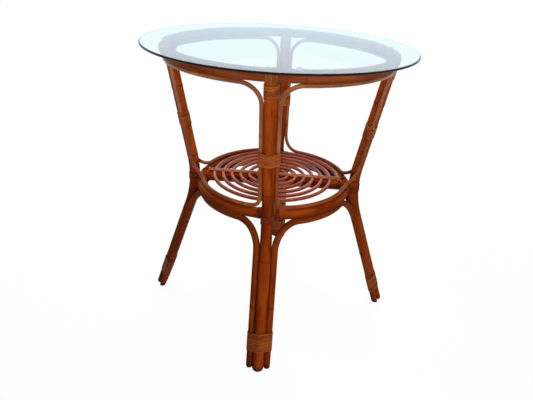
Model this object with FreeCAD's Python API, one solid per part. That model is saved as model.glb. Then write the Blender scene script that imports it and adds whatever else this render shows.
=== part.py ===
import FreeCAD
import Part
import math
import os

V = FreeCAD.Vector

# A round cane table: a loose glass top on a frame of bent poles, thinner canes and peel
# bindings. Millimetres, Z up, origin on the floor under the middle of the glass.

# Glass and its clear pads
table_height = 770.0
glass_diameter = 700.0
glass_thickness = 5.0
glass_edge_round = 2.2
pad_thickness = 2.5
pad_diameter = 14.0
pad_turn_degrees = 11.0

# Hoop under the glass
top_ring_hoop_radius = 292.0
top_ring_diameter = 25.0

# Legs: straight, bent at the waist, straight again
leg_diameter = 30.0
waist_axis_radius = 221.0
waist_height = 370.0
waist_bend_radius = 300.0
foot_axis_radius = 347.0
leg_saddle_depth = 7.0

# Lower hoop inside the legs, and the shelf that it carries
lower_ring_rise_height = 14.0
lower_ring_diameter = 28.0
lower_ring_seat_depth = 2.0
rod_diameter = 30.0
rod_rise_height = 2.8
rod_saddle_depth = 4.0
spiral_diameter = 10.0
spiral_pitch = 24.5
spiral_rim_gap = 0.5
spiral_offset_length = 3.5
spiral_quarter_turns = 26
spiral_start_degrees = 45.0
spiral_seat_depth = 4.8
lath_width = 12.0
lath_seat_depth = 1.5

# Thin canes above and below the middle bindings, thicker braces under the shelf
cane_diameter = 10.0
upper_bend_radius = 50.0
lower_bend_radius = 45.0
cane_butt_gap = 0.5
brace_diameter = 18.0
brace_bend_radius = 58.0
pole_gap = 0.2

# Peel bindings
peel_thickness = 1.4
peel_clearance = 0.2
peel_width = 5.2
strap_count = 5
strap_width = 5.0
strap_gap = 0.3
strap_clearance = 0.3
top_binding_drop = 13.5
top_binding_length = 39.5
top_binding_turns = 6
mid_binding_share = 0.467
mid_binding_length = 40.0
mid_binding_turns = 6
foot_binding_height = 69.0
foot_binding_length = 56.0
foot_binding_turns = 9
waist_band_length = 20.0
waist_band_clearance = 0.4
ring_wrap_offset_length = 17.5
ring_wrap_width = 8.0

# Screws
screw_diameter = 5.0
screw_head_diameter = 9.0
screw_head_height = 3.0
screw_clearance = 0.15
top_screw_length = 62.0
top_screw_inset_depth = 1.5
waist_screw_length = 82.0
waist_screw_inset_depth = 1.0

overrun_length = 20.0
straight_angle = 1e-6
samples_per_arc = 12

LEGS = {"back_right": 45, "back_left": 135, "front_left": 225, "front_right": 315}
SIDES = {"right": 0, "back": 90, "left": 180, "front": 270}

leg_radius = leg_diameter / 2
top_ring_radius = top_ring_diameter / 2
lower_ring_radius = lower_ring_diameter / 2
rod_radius = rod_diameter / 2
spiral_radius = spiral_diameter / 2
cane_radius = cane_diameter / 2
brace_radius = brace_diameter / 2
pad_top = table_height - glass_thickness
ring_crest = pad_top - pad_thickness
top_ring_height = ring_crest - top_ring_radius
lower_ring_height = waist_height + lower_ring_rise_height
mid_binding_height = lower_ring_height + mid_binding_share * (top_ring_height - lower_ring_height)


def polar(angle, reach, side, height):
    turn = math.radians(angle)
    east = reach * math.cos(turn) - side * math.sin(turn)
    north = reach * math.sin(turn) + side * math.cos(turn)
    return V(east, north, height)


def unit(vector):
    return vector * (1 / vector.Length)


def turned(shape, angle):
    copy = shape.copy()
    copy.rotate(V(0, 0, 0), V(0, 0, 1), angle)
    return copy


def line(start, end):
    return Part.LineSegment(start, end).toShape()


def arc(start, tangent, end):
    chord = end - start
    swing = tangent.getAngle(chord)
    if swing < straight_angle:
        return line(start, end)
    across = unit(tangent - chord * (tangent.dot(chord) / chord.dot(chord)))
    middle = (start + end) * 0.5 + across * (chord.Length / 2 * math.tan(swing / 2))
    return Part.Arc(start, middle, end).toShape()


def biarc(start, leaving, end, arriving):
    span = end - start
    both = leaving + arriving
    spread = 2 * (1 - leaving.dot(arriving))
    along = span.dot(both)
    reach = (math.sqrt(along * along + spread * span.dot(span)) - along) / spread
    joint = (start + end + (leaving - arriving) * reach) * 0.5
    meeting = unit(end - arriving * reach - start - leaving * reach)
    return [arc(start, leaving, joint), arc(joint, meeting, end)]


def tube(edges, diameter, name):
    first = edges[0]
    start = first.valueAt(first.FirstParameter)
    heading = first.tangentAt(first.FirstParameter)
    section = Part.Wire([Part.makeCircle(diameter / 2, start, heading)])
    path = Part.Wire(edges)
    solid = path.makePipeShell([section], True, False)
    expected = math.pi * diameter * diameter / 4 * path.Length
    print(name, "volume over section times length", round(solid.Volume / expected, 5))
    return solid


def winding(circles, turns, length, name):
    # A strip of peel wound round circles, each (x, y, radius), listed in turn anticlockwise, and
    # climbing along Z. Straight runs join arcs, and each quarter turn or less is two arcs in space.
    grow = peel_clearance + peel_thickness / 2
    hubs = [V(x, y, 0) for x, y, radius in circles]
    radii = [radius + grow for x, y, radius in circles]
    total = len(circles)
    normals = []
    for i in range(total):
        gap = hubs[(i + 1) % total] - hubs[i]
        normals.append(
            math.atan2(gap.y, gap.x) - math.acos((radii[i] - radii[(i + 1) % total]) / gap.Length))
    runs = []
    for i in range(total):
        sweep = (normals[i] - normals[i - 1]) % (2 * math.pi)
        pieces = math.ceil(sweep / (math.pi / 2))
        marks = [normals[i - 1] + sweep * step / pieces for step in range(pieces + 1)]
        for first, last in zip(marks, marks[1:]):
            runs.append((radii[i] * (last - first), hubs[i], radii[i], first, last))
        gap = hubs[(i + 1) % total] - hubs[i]
        straight = math.sqrt(gap.dot(gap) - (radii[i] - radii[(i + 1) % total]) ** 2)
        runs.append((straight, hubs[i], radii[i], normals[i], normals[i]))
    return wind(runs, turns, length, name)


def round_winding(turns, length, name):
    radius = leg_radius + peel_clearance + peel_thickness / 2
    marks = [math.pi / 2 * step for step in range(5)]
    runs = [(radius * math.pi / 2, V(0, 0, 0), radius, first, last) for first, last in zip(marks, marks[1:])]
    return wind(runs, turns, length, name)


def wind(runs, turns, length, name):
    around = sum(run[0] for run in runs)
    climb = (length - peel_width) / (turns * around)
    flat = 1 / math.sqrt(1 + climb * climb)
    height = peel_width / 2
    edges = []
    for distance, hub, radius, first, last in runs * turns:
        start = hub + V(radius * math.cos(first), radius * math.sin(first), height)
        leaving = V(-math.sin(first), math.cos(first), climb) * flat
        height += distance * climb
        if first == last:
            edges.append(line(start, start + leaving * (distance / flat)))
            continue
        end = hub + V(radius * math.cos(last), radius * math.sin(last), height)
        arriving = V(-math.sin(last), math.cos(last), climb) * flat
        edges.extend(biarc(start, leaving, end, arriving))
    first_run = runs[0]
    outward = V(math.cos(first_run[3]), math.sin(first_run[3]), 0)
    begin = first_run[1] + outward * first_run[2]
    corners = []
    for across, above in ((-1, 0), (1, 0), (1, 1), (-1, 1)):
        corners.append(begin + outward * (across * peel_thickness / 2) + V(0, 0, above * peel_width))
    section = Part.makePolygon(corners + corners[:1])
    sweep = Part.BRepOffsetAPI.MakePipeShell(Part.Wire(edges))
    sweep.setBiNormalMode(V(0, 0, 1))
    sweep.add(section)
    sweep.build()
    sweep.makeSolid()
    strip = sweep.shape()
    expected = peel_thickness * peel_width * around * turns
    gap = climb * around - peel_width
    print(name, "volume over section times length", round(strip.Volume / expected, 4), "gap", round(gap, 2))
    return strip


def seat_on_leg(shape, base, heading):
    # Local Z goes along the leg, local X goes sideways and local Y towards the inside.
    side = V(0, 1, 0)
    inner = heading.cross(side)
    frame = FreeCAD.Matrix(
        side.x, inner.x, heading.x, base.x,
        side.y, inner.y, heading.y, base.y,
        side.z, inner.z, heading.z, base.z,
        0, 0, 0, 1)
    copy = shape.copy()
    copy.Placement = FreeCAD.Placement(frame)
    return copy


def screw(length, extra):
    # Countersunk, head at the origin, pointing down.
    radius = screw_diameter / 2 + extra
    head_radius = screw_head_diameter / 2 + extra
    shank = Part.makeCylinder(radius, length + extra, V(0, 0, 0), V(0, 0, -1))
    head = Part.makeCone(head_radius, radius, screw_head_height, V(0, 0, 0), V(0, 0, -1))
    return shank.fuse(head)


# The leg's line, in the plane Y = 0, from the hoop to the floor
top_point = V(top_ring_hoop_radius, 0, top_ring_height)
waist_point = V(waist_axis_radius, 0, waist_height)
foot_point = V(foot_axis_radius, 0, 0)
up = unit(top_point - waist_point)
down = unit(foot_point - waist_point)
half_bend = up.getAngle(down) / 2
bend_top = waist_point + up * (waist_bend_radius / math.tan(half_bend))
bend_bottom = waist_point + down * (waist_bend_radius / math.tan(half_bend))
bend_centre = waist_point + unit(up + down) * (waist_bend_radius / math.sin(half_bend))
inward = V(down.z, 0, -down.x)


def upper_axis(height):
    return waist_point + up * ((height - waist_height) / up.z)


def lower_axis(height):
    return waist_point + down * ((height - waist_height) / down.z)


def bend_axis(height):
    rise = height - bend_centre.z
    run = math.sqrt(waist_bend_radius * waist_bend_radius - rise * rise)
    return V(bend_centre.x - run, 0, height)


def bend_heading(height):
    spoke = bend_axis(height) - bend_centre
    return unit(V(-spoke.z, 0, spoke.x))


def at_leg(angle, point, side):
    return polar(angle, point.x, side, point.z)


def way_at_leg(angle, way):
    return polar(angle, way.x, 0, way.z)


waist_axis = bend_axis(lower_ring_height)
lower_ring_reach = waist_axis.x - leg_radius + lower_ring_seat_depth - lower_ring_radius
floor_block = Part.makeBox(
    2 * glass_diameter, 2 * glass_diameter, table_height,
    V(-glass_diameter, -glass_diameter, -table_height))

# Screws and their holes, on the leg at angle 0
top_screw_head = top_point + up * (top_ring_radius - top_screw_inset_depth)
waist_screw_head = waist_axis + V(leg_radius - waist_screw_inset_depth, 0, 0)


def top_screw(extra):
    return seat_on_leg(screw(top_screw_length, extra), top_screw_head, up)


def waist_screw(extra):
    return seat_on_leg(screw(waist_screw_length, extra), waist_screw_head, V(1, 0, 0))


top_holes = [turned(top_screw(screw_clearance), angle) for angle in LEGS.values()]
waist_holes = [turned(waist_screw(screw_clearance), angle) for angle in LEGS.values()]

# Hoops
top_hoop = Part.makeTorus(top_ring_hoop_radius, top_ring_radius, V(0, 0, top_ring_height))
lower_hoop = Part.makeTorus(lower_ring_reach, lower_ring_radius, V(0, 0, lower_ring_height))
parts = {}
parts["top_ring"] = top_hoop.cut(top_holes)
parts["lower_ring"] = lower_hoop.cut(waist_holes)

# Glass and pads
glass = Part.makeCylinder(glass_diameter / 2, glass_thickness, V(0, 0, pad_top))
rims = [edge for edge in glass.Edges if edge.Closed]
parts["glass_top"] = glass.makeFillet(glass_edge_round, rims)
pads = []
for angle in LEGS.values():
    base = polar(angle + pad_turn_degrees, top_ring_hoop_radius, 0, top_ring_height)
    pad = Part.makeCylinder(pad_diameter / 2, pad_top - top_ring_height, base)
    pads.append(pad.cut(top_hoop))
parts["glass_pads"] = Part.makeCompound(pads)

# Legs
leg_start = top_point - up * (top_ring_radius - leg_saddle_depth)
leg_line = [
    line(leg_start, bend_top),
    arc(bend_top, up * -1, bend_bottom),
    line(bend_bottom, foot_point + down * overrun_length),
]
leg_pole = tube(leg_line, leg_diameter, "leg")
leg = leg_pole.cut([
    floor_block, top_hoop, lower_hoop, top_screw(screw_clearance), waist_screw(screw_clearance)])
for name, angle in LEGS.items():
    parts["leg_" + name] = turned(leg, angle)

# Shelf spiral: quarter arcs that tighten by a quarter of the pitch each
rod_height = lower_ring_height + rod_rise_height
spiral_height = rod_height + rod_radius + spiral_radius + pole_gap - spiral_seat_depth
spiral_reach = lower_ring_reach - lower_ring_radius - spiral_rim_gap - spiral_radius
quarter_step = spiral_pitch / 4
spiral_edges = []
spiral_points = []
bearing = spiral_start_degrees
centre = polar(bearing, spiral_offset_length, 0, spiral_height)
radius = spiral_reach - spiral_offset_length
start = centre + polar(bearing, radius, 0, 0)
spiral_edges.append(line(start - polar(bearing, 0, spiral_diameter, 0), start))
for quarter in range(spiral_quarter_turns):
    middle = centre + polar(bearing + 45, radius, 0, 0)
    end = centre + polar(bearing + 90, radius, 0, 0)
    spiral_edges.append(Part.Arc(start, middle, end).toShape())
    for sample in range(samples_per_arc):
        spiral_points.append(centre + polar(bearing + 90 * sample / samples_per_arc, radius, 0, 0))
    bearing += 90
    centre = centre + polar(bearing, quarter_step, 0, 0)
    radius -= quarter_step
    start = end
spiral_edges.append(line(start, start + polar(bearing, 0, spiral_diameter, 0)))
parts["shelf_spiral"] = tube(spiral_edges, spiral_diameter, "spiral")
spiral_seat = tube(spiral_edges, spiral_diameter + 2 * pole_gap, "spiral seat")
least = min(
    (spiral_points[i] - spiral_points[j]).Length
    for i in range(len(spiral_points))
    for j in range(i + 2 * samples_per_arc, len(spiral_points)))
print("spiral least gap to itself", round(least - spiral_diameter, 2))

# Shelf rods: one right across, two that butt on it, all notched for the spiral
rod_reach = lower_ring_reach - lower_ring_radius + rod_saddle_depth
along_x = Part.makeCylinder(rod_radius, 2 * rod_reach, V(-rod_reach, 0, rod_height), V(1, 0, 0))
along_y = Part.makeCylinder(rod_radius, 2 * rod_reach, V(0, -rod_reach, rod_height), V(0, 1, 0))
half_x = Part.makeCylinder(rod_radius, rod_reach, V(0, 0, rod_height), V(1, 0, 0))
one_hole = waist_screw(screw_clearance)
long_rod = along_x.cut([lower_hoop, one_hole, turned(one_hole, 180)])
half_rod = half_x.cut([lower_hoop, one_hole, along_y])
parts["shelf_rod_long"] = turned(long_rod, LEGS["back_right"]).cut(spiral_seat)
parts["shelf_rod_front"] = turned(half_rod, LEGS["front_right"]).cut(spiral_seat)
parts["shelf_rod_back"] = turned(half_rod, LEGS["back_left"]).cut(spiral_seat)

# Laths: split canes, round side up, let on to the spiral to hold it down
lath_radius = lath_width / 2
lath_base = spiral_height + spiral_radius + pole_gap - lath_seat_depth
lath_reach = spiral_reach + spiral_radius


def lath(first, last):
    pole = Part.makeCylinder(lath_radius, last - first, V(first, 0, lath_base), V(1, 0, 0))
    upper_half = Part.makeBox(last - first, lath_width, lath_radius, V(first, -lath_radius, lath_base))
    return pole.common(upper_half)


long_lath = lath(-lath_reach, lath_reach)
parts["shelf_lath_long"] = turned(long_lath, LEGS["back_right"]).cut(spiral_seat)
half_lath = lath(lath_radius + pole_gap, lath_reach)
parts["shelf_lath_front"] = turned(half_lath, LEGS["front_right"]).cut(spiral_seat)
parts["shelf_lath_back"] = turned(half_lath, LEGS["back_left"]).cut(spiral_seat)

# Canes of one side, between the legs at -45 and 45 degrees
cane_side = leg_radius + cane_radius + pole_gap
brace_inset = leg_radius - brace_radius
brace_spacing = leg_radius + brace_radius + pole_gap
brace_side = math.sqrt(brace_spacing * brace_spacing - brace_inset * brace_inset)


def side_cane(leg_edges, last_point, last_way, ring_reach, ring_height, run, diameter, name):
    # leg_edges climbs or falls along the leg at -45 degrees to last_point, and the cane then
    # swings on to the hoop, follows it and comes back down the other leg as its mirror image.
    swing = 45 - math.degrees(math.asin(run / ring_reach))
    landing = polar(-swing, ring_reach, 0, ring_height)
    leaving = polar(-swing, 0, 1, 0)
    middle = polar(0, ring_reach, 0, ring_height)
    edges = leg_edges + biarc(last_point, last_way, landing, leaving)
    mirrored = []
    for edge in edges:
        first = edge.FirstParameter
        last = edge.LastParameter
        points = [edge.valueAt(first), edge.valueAt((first + last) / 2), edge.valueAt(last)]
        flipped = [V(point.x, -point.y, point.z) for point in points]
        if edge.Curve.TypeId == "Part::GeomCircle":
            mirrored.append(Part.Arc(flipped[2], flipped[1], flipped[0]).toShape())
        else:
            mirrored.append(line(flipped[2], flipped[0]))
    over = Part.Arc(landing, middle, polar(swing, ring_reach, 0, ring_height)).toShape()
    return tube(edges + [over] + mirrored[::-1], diameter, name)


upper_height = top_ring_height - top_ring_radius - cane_radius - pole_gap
upper_last = at_leg(-45, upper_axis(upper_height - upper_bend_radius), cane_side)
upper_first = at_leg(-45, upper_axis(mid_binding_height + cane_butt_gap / 2), cane_side)
upper_arch = side_cane(
    [line(upper_first, upper_last)], upper_last, way_at_leg(-45, up),
    top_ring_hoop_radius, upper_height, cane_side + upper_bend_radius, cane_diameter, "upper arch")

lower_height = lower_ring_height + lower_ring_radius + cane_radius + pole_gap
lower_last_height = lower_height + lower_bend_radius
lower_first = at_leg(-45, upper_axis(mid_binding_height - cane_butt_gap / 2), cane_side)
if lower_last_height < bend_top.z:
    lower_bend = at_leg(-45, bend_top, cane_side)
    lower_last = at_leg(-45, bend_axis(lower_last_height), cane_side)
    lower_way = way_at_leg(-45, bend_heading(lower_last_height))
    lower_edges = [line(lower_first, lower_bend), arc(lower_bend, way_at_leg(-45, up * -1), lower_last)]
else:
    lower_last = at_leg(-45, upper_axis(lower_last_height), cane_side)
    lower_way = way_at_leg(-45, up * -1)
    lower_edges = [line(lower_first, lower_last)]
lower_arch = side_cane(
    lower_edges, lower_last, lower_way,
    lower_ring_reach, lower_height, cane_side + lower_bend_radius, cane_diameter, "lower arch")

brace_height = lower_ring_height - lower_ring_radius - brace_radius - pole_gap
brace_first = at_leg(-45, foot_point + down * overrun_length + inward * brace_inset, brace_side)
brace_last_height = min(bend_bottom.z, brace_height - brace_bend_radius)
brace_last = at_leg(-45, lower_axis(brace_last_height) + inward * brace_inset, brace_side)
brace = side_cane(
    [line(brace_first, brace_last)], brace_last, way_at_leg(-45, down * -1),
    lower_ring_reach, brace_height, brace_side + brace_bend_radius, brace_diameter, "brace")
brace = brace.cut(floor_block)
for name, angle in SIDES.items():
    parts["upper_arch_" + name] = turned(upper_arch, angle)
    parts["lower_arch_" + name] = turned(lower_arch, angle)
    parts["brace_" + name] = turned(brace, angle)

# Straps: strips of peel over the hoop that run down on both sides of the leg
strap_inner = max(top_ring_radius, leg_radius) + strap_clearance
strap_outer = strap_inner + peel_thickness
strap_hub = top_ring_radius + strap_clearance - strap_inner
strap_drop = top_binding_drop - strap_gap
strap_outline = [
    line(V(strap_inner, 0, -strap_drop), V(strap_outer, 0, -strap_drop)),
    line(V(strap_outer, 0, -strap_drop), V(strap_outer, 0, strap_hub)),
    Part.Arc(
        V(strap_outer, 0, strap_hub), V(0, 0, strap_hub + strap_outer),
        V(-strap_outer, 0, strap_hub)).toShape(),
    line(V(-strap_outer, 0, strap_hub), V(-strap_outer, 0, -strap_drop)),
    line(V(-strap_outer, 0, -strap_drop), V(-strap_inner, 0, -strap_drop)),
    line(V(-strap_inner, 0, -strap_drop), V(-strap_inner, 0, strap_hub)),
    Part.Arc(
        V(-strap_inner, 0, strap_hub), V(0, 0, strap_hub + strap_inner),
        V(strap_inner, 0, strap_hub)).toShape(),
    line(V(strap_inner, 0, strap_hub), V(strap_inner, 0, -strap_drop)),
]
strap_face = Part.Face(Part.Wire(strap_outline))
strap_face.translate(V(0, -strap_width / 2, 0))
strap = strap_face.extrude(V(0, strap_width, 0))
strap.rotate(V(0, 0, 0), V(0, 1, 0), math.degrees(up.getAngle(V(0, 0, 1))))
strap.translate(top_point)
strap_step = math.degrees((strap_width + strap_gap) / top_ring_hoop_radius)
straps = [turned(strap, strap_step * (i - (strap_count - 1) / 2)) for i in range(strap_count)]
ring_straps = Part.makeCompound(straps)

# Bindings
leg_circle = (0, 0, leg_radius)
cane_bundle = [(cane_side, 0, cane_radius), leg_circle, (-cane_side, 0, cane_radius), leg_circle]
foot_bundle = [(brace_side, brace_inset, brace_radius), (-brace_side, brace_inset, brace_radius), leg_circle]


top_binding = seat_on_leg(
    round_winding(top_binding_turns, top_binding_length, "top binding"),
    top_point - up * (top_binding_drop + top_binding_length), up)
mid_binding = seat_on_leg(
    winding(cane_bundle, mid_binding_turns, mid_binding_length, "middle binding"),
    upper_axis(mid_binding_height) - up * (mid_binding_length / 2), up)
foot_binding = seat_on_leg(
    winding(foot_bundle, foot_binding_turns, foot_binding_length, "foot binding"),
    lower_axis(foot_binding_height) + down * (foot_binding_length / 2), down * -1)
waist_way = bend_heading(lower_ring_height) * -1
band_inner = leg_radius + waist_band_clearance
band_bulk = Part.makeCylinder(band_inner + peel_thickness, waist_band_length)
waist_band = seat_on_leg(
    band_bulk.cut(Part.makeCylinder(band_inner, waist_band_length)),
    waist_axis - waist_way * (waist_band_length / 2), waist_way)
hoop_bulk = Part.makeTorus(lower_ring_reach, lower_ring_radius + peel_clearance, V(0, 0, lower_ring_height))
waist_band = waist_band.cut(hoop_bulk)
wrap_inner = lower_ring_radius + peel_clearance
wrap_hub = V(lower_ring_reach, 0, lower_ring_height)
wrap_face = Part.Face([
    Part.Wire([Part.makeCircle(wrap_inner + peel_thickness, wrap_hub, V(0, 1, 0))]),
    Part.Wire([Part.makeCircle(wrap_inner, wrap_hub, V(0, -1, 0))])])
wrap_turn = math.degrees(ring_wrap_width / lower_ring_reach)
wrap_start = math.degrees(ring_wrap_offset_length / lower_ring_reach)
ring_wrap = wrap_face.revolve(V(0, 0, 0), V(0, 0, 1), wrap_turn)
waist_binding = Part.makeCompound([
    waist_band, turned(ring_wrap, wrap_start), turned(ring_wrap, -wrap_start - wrap_turn)])
for name, angle in LEGS.items():
    parts["ring_straps_" + name] = turned(ring_straps, angle)
    parts["top_binding_" + name] = turned(top_binding, angle)
    parts["mid_binding_" + name] = turned(mid_binding, angle)
    parts["waist_binding_" + name] = turned(waist_binding, angle)
    parts["foot_binding_" + name] = turned(foot_binding, angle)
parts["top_screws"] = Part.makeCompound([turned(top_screw(0), angle) for angle in LEGS.values()])
parts["waist_screws"] = Part.makeCompound([turned(waist_screw(0), angle) for angle in LEGS.values()])

os.makedirs("parts", exist_ok=True)
for name, shape in parts.items():
    volumes = [round(solid.Volume) for solid in shape.Solids]
    print(name, shape.isValid(), len(volumes), volumes[:3])
    shape.exportStep("parts/" + name + ".step")
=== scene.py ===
import math
import bpy
import numpy as np
from mathutils import Matrix, Vector


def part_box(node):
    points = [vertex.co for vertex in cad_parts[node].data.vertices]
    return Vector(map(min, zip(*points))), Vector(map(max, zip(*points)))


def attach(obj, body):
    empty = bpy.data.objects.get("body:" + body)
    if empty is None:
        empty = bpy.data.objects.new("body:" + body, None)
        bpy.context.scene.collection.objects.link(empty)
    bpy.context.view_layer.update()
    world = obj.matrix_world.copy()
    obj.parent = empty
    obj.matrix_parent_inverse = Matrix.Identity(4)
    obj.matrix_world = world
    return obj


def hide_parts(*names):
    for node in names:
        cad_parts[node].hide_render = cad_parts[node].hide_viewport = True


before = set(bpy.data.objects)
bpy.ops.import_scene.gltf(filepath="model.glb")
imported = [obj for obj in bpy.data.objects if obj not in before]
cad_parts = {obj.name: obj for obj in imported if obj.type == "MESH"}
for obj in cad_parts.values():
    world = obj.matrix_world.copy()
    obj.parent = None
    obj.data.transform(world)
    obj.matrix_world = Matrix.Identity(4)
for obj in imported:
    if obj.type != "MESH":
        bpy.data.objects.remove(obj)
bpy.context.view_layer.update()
print("frame loaded:", len(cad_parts), "nodes")

legAngles = {"back_right": 45, "back_left": 135, "front_left": 225, "front_right": 315}
sideAngles = {"right": 0, "back": 90, "left": 180, "front": 270}


# Small vector helpers

def unit(v):  # each vector divided by its length
    return v / np.linalg.norm(v, axis=-1, keepdims=True)


def vec(x, y, z):
    return np.array([x, y, z], float)


def polar(angle, reach, side, height):  # a point given along, beside and above a bearing in degrees
    a = math.radians(angle)
    return vec(reach * math.cos(a) - side * math.sin(a), reach * math.sin(a) + side * math.cos(a), height)


def spun(points, angle):  # turned about the table's axis, degrees
    a = math.radians(angle)
    c, s = math.cos(a), math.sin(a)
    x, y, z = points.T
    return np.stack([x * c - y * s, x * s + y * c, z], 1)


def hoop(node):  # centre reach, height and pole radius of a ring, read from its box
    low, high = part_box(node)
    r = (high.z - low.z) / 2
    return {"reach": (high.x - low.x) / 2 - r, "z": (high.z + low.z) / 2, "r": r}


topHoop = {**hoop("top_ring"), "sides": 28, "seed": 3}
lowHoop = {**hoop("lower_ring"), "sides": 24, "seed": 4}

# Leg line: straight from the hoop to the waist, a bend, straight to the floor.
# The mouth is the share of the hoop's radius at which the leg starts, cutZ the height of its last ring.
leg = {"r": 0.015, "waistReach": 0.221, "waistZ": 0.370, "bend": 0.300, "footReach": 0.347,
       "mouth": 0.55, "cutZ": 0.012, "sides": 28, "seed": 20}
topPoint = vec(topHoop["reach"], 0, topHoop["z"])
waistPoint = vec(leg["waistReach"], 0, leg["waistZ"])
footPoint = vec(leg["footReach"], 0, 0)
up = unit(topPoint - waistPoint)
down = unit(footPoint - waistPoint)
inward = vec(down[2], 0, -down[0])
halfBend = math.acos(float(up @ down)) / 2
bendTop = waistPoint + up * leg["bend"] / math.tan(halfBend)
bendBottom = waistPoint + down * leg["bend"] / math.tan(halfBend)
bendHub = waistPoint + unit(up + down) * leg["bend"] / math.sin(halfBend)


def upperAxis(z):  # point at height z on the straight line from the waist to the top hoop
    return waistPoint + up * (z - leg["waistZ"]) / up[2]


def lowerAxis(z):  # point at height z on the straight line from the waist to the foot
    return waistPoint + down * (z - leg["waistZ"]) / down[2]


def bendAxis(z):  # point at height z on the bend's circle, on its side towards the table's axis
    return vec(bendHub[0] - math.sqrt(leg["bend"] ** 2 - (z - bendHub[2]) ** 2), 0, z)


def bendWay(z):  # direction of the bend at height z: its spoke turned by a right angle
    spoke = bendAxis(z) - bendHub
    return unit(vec(-spoke[2], 0, spoke[0]))


# Paths: points along straight runs, arcs and pairs of arcs, all a few millimetres apart

pathStep = 0.0035
flatSwing = 1e-5  # radians; an arc that turns less is drawn straight


def straight(a, b):  # even steps from a to b
    n = max(2, int(np.linalg.norm(b - a) / pathStep))
    return a + (b - a) * np.linspace(0, 1, n)[:, None]


def arc(a, way, b):
    # Circle arc from a, leaving along way, to b. It turns by twice the angle from way to the chord.
    chord = b - a
    swing = math.acos(max(-1, min(1, float(unit(chord) @ way))))
    if swing < flatSwing:
        return straight(a, b)
    radius = np.linalg.norm(chord) / 2 / math.sin(swing)
    across = unit(way - unit(chord) * float(unit(chord) @ way))
    side = unit(across * math.cos(swing) - unit(chord) * math.sin(swing))  # from a away from the hub
    n = max(4, int(2 * swing * radius / pathStep))
    t = np.linspace(0, 2 * swing, n)[:, None]
    return a - side * radius + side * radius * np.cos(t) + way * radius * np.sin(t)


def biarc(a, wayA, b, wayB):
    # Two arcs that meet smoothly, from a along wayA to b along wayB. The joint lies midway between
    # the points at one distance d along both tangents, where the arcs share a tangent.
    span = b - a
    k = 2 * (1 - float(wayA @ wayB))
    along = float(span @ (wayA + wayB))
    d = (math.sqrt(along * along + k * float(span @ span)) - along) / k
    joint = (a + b + (wayA - wayB) * d) / 2
    return joined(arc(a, wayA, joint), arc(joint, unit(b - wayB * d - a - wayA * d), b))


def joined(*runs):  # runs end to end, each shared point once
    return np.concatenate([runs[0]] + [r[1:] for r in runs[1:]])


def lengths(path):  # distance along the path at each point
    return np.concatenate([[0], np.cumsum(np.linalg.norm(np.diff(path, axis=0), axis=1))])


# Meshes: every piece is one or more grids joined into one object

def gridQuads(rows, cols, wrapRows=False):  # columns always close on themselves
    i = np.arange(rows if wrapRows else rows - 1)[:, None]
    j = np.arange(cols)[None, :]
    a = i * cols + j
    b = i * cols + (j + 1) % cols
    c = ((i + 1) % rows) * cols + (j + 1) % cols
    d = ((i + 1) % rows) * cols + j
    return np.stack([a, b, c, d], -1).reshape(-1, 4)


def shapeOf(grid, space, knotAndFootShade, closed=False):
    # A grid of rings as one skin: quads between neighbours, and a fan from the middle over each open end.
    rows, cols = grid.shape[:2]
    verts = grid.reshape(-1, 3)
    space = space.reshape(-1, 3)
    knotAndFootShade = knotAndFootShade.reshape(-1)
    quads = gridQuads(rows, cols, closed)
    tris = np.zeros((0, 3), int)
    if not closed:
        j = np.arange(cols)
        n = len(verts)
        verts = np.concatenate([verts, grid[:1].mean(1), grid[-1:].mean(1)])
        space = np.concatenate([space, space[:cols].mean(0)[None], space[-cols:].mean(0)[None]])
        knotAndFootShade = np.concatenate([knotAndFootShade, knotAndFootShade[:1], knotAndFootShade[-1:]])
        first = np.stack([(j + 1) % cols, j, np.full(cols, n)], 1)
        base = (rows - 1) * cols
        last = np.stack([base + j, base + (j + 1) % cols, np.full(cols, n + 1)], 1)
        tris = np.concatenate([first, last])
    return {"verts": verts, "quads": quads, "tris": tris, "space": space, "knotAndFootShade": knotAndFootShade}


def turnShape(shape, angle):  # the same shape turned about the table's axis
    return {**shape, "verts": spun(shape["verts"], angle)}


def build(name, shapes, materials, body, node, materialOf=None):
    # Joins shapes into one mesh that rides on a body and stands for a CAD node.
    starts = np.cumsum([0] + [len(s["verts"]) for s in shapes])
    verts, space, knotAndFootShade = (np.concatenate([s[key] for s in shapes]) for key in ("verts", "space", "knotAndFootShade"))
    quads, tris = (
        np.concatenate([s[key] + n for s, n in zip(shapes, starts)]) for key in ("quads", "tris"))
    mesh = bpy.data.meshes.new(name)
    mesh.from_pydata(verts.tolist(), [], quads.tolist() + tris.tolist())
    spaceLayer = mesh.attributes.new("caneSpace", "FLOAT_VECTOR", "POINT")
    spaceLayer.data.foreach_set("vector", space.astype(np.float32).ravel())
    knotLayer = mesh.attributes.new("knotAndFootShade", "FLOAT", "POINT")
    knotLayer.data.foreach_set("value", knotAndFootShade.astype(np.float32))
    mesh.polygons.foreach_set("use_smooth", np.ones(len(mesh.polygons), bool))
    for m in materials:
        mesh.materials.append(m)
    if materialOf is not None:
        mesh.polygons.foreach_set("material_index", materialOf.astype(np.int32))
    mesh.update()
    obj = bpy.data.objects.new(name, mesh)
    bpy.context.scene.collection.objects.link(obj)
    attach(obj, body)
    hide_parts(node)


# The feet's last rings: height, inset and darkness; the darkness is painted shade along the bottom edge
footRound = ((0.0035, 0, 0.3), (0.0012, 0.0009, 0.9), (0, 0.0032, 1.2))  # height, inset, darkness
caneLook = {"knots": 60, "knotEvery": (0.17, 0.30), "knotStart": (0.2, 0.9), "knotEnd": 0.01,
            "knotSwell": 0.030, "knotWide": 0.0045, "groove": 0.5, "grooveAt": 1.7, "grooveWide": 0.6,
            "waver": 0.008, "waves": (37, 23, 71), "waveShares": (1, 1, 0.5), "wavePhase": 6.28,
            "capRound": 0.0015, "capMost": 0.4, "capMidIn": 0.3, "capMidOut": 0.7, "grainShift": 50}


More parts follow.
